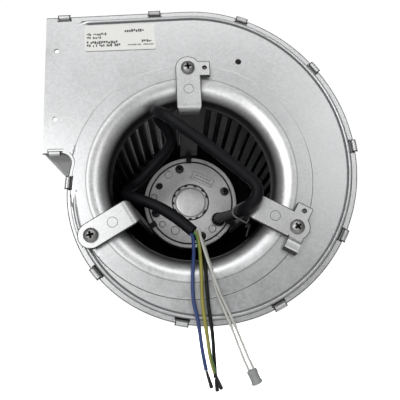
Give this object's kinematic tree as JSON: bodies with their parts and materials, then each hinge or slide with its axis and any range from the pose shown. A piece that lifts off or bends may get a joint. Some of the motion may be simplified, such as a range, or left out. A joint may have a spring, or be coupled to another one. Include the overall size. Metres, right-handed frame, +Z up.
{
  "type": "centrifugal blower",
  "caption": "Single-inlet centrifugal blower: a galvanised scroll housing with a bladed wheel on a motor held in the inlet by three bent brackets, with its flying lead.",
  "frame": {"origin": "centre of the outlet opening, in the plane of the outlet's edges", "axes": "+Z up, the outlet faces -X, the inlet faces -Y, and the wheel spins about an axis along Y"},
  "size_m": [0.2228, 0.1656, 0.2723],
  "materials": {
    "galvanised": "hot-dip galvanised sheet, dull spangle",
    "cast_aluminium": "pressure die cast, shot blasted",
    "dark_screw": "dark zinc plating",
    "steel": "ground and oiled",
    "zinc_part": "zinc plated",
    "black_steel": "matt black coating",
    "lamination": "stacked electrical steel",
    "copper": "enamelled copper wire",
    "rotor_magnet": "cast rotor cage",
    "black_rubber": "moulded rubber",
    "label": "matt film label, blank",
    "tie": "natural nylon",
    "sleeve": "satin vinyl sleeving",
    "blue_wire": "vinyl insulation",
    "green_yellow_wire": "vinyl insulation, two colours",
    "black_wire": "vinyl insulation",
    "white_wire": "vinyl insulation",
    "tinned": "tinned copper",
    "grey_cap": "grey moulded cap"
  },
  "bodies": {
    "housing": {"front_plate": "galvanised", "rear_plate": "galvanised", "scroll_wrap": "galvanised", "rating_label": "label", "motor_bracket_top": "galvanised", "motor_bracket_left": "galvanised", "motor_bracket_right": "galvanised", "bracket_screw_top": "dark_screw", "bracket_screw_left": "dark_screw", "bracket_screw_right": "dark_screw", "bracket_nut_top": "zinc_part", "bracket_nut_left": "zinc_part", "bracket_nut_right": "zinc_part", "stator_flange": "cast_aluminium", "flange_screw_1": "dark_screw", "flange_screw_2": "dark_screw", "flange_screw_3": "dark_screw", "flange_screw_4": "dark_screw", "bearing_cap": "zinc_part", "cap_ring": "cast_aluminium", "bearing_front": "steel", "bearing_rear": "steel", "stator_core": "lamination", "winding_front": "copper", "winding_rear": "copper", "lead_grommet": "black_rubber", "cable_tie": "tie", "lead_sleeve": "sleeve", "wire_blue": "blue_wire", "wire_green_yellow": "green_yellow_wire", "wire_black": "black_wire", "wire_white_left": "white_wire", "wire_white_right": "white_wire", "ferrule_blue": "tinned", "ferrule_green_yellow": "tinned", "ferrule_black": "tinned", "crimp_cap": "grey_cap"},
    "wheel": {"rotor_cup": "black_steel", "rotor_ring": "rotor_magnet", "motor_shaft": "steel", "wheel_back_disc": "black_steel", "wheel_blades": "black_steel", "rotor_rivet_1": "steel", "rotor_rivet_2": "steel", "rotor_rivet_3": "steel", "rotor_rivet_4": "steel"}
  },
  "joints": [
    {"name": "wheel_spin", "type": "hinge", "parent": "housing", "child": "wheel", "pos_m": [0.104, 0, -0.07258], "axis": [0, -1, 0], "continuous": true}
  ]
}
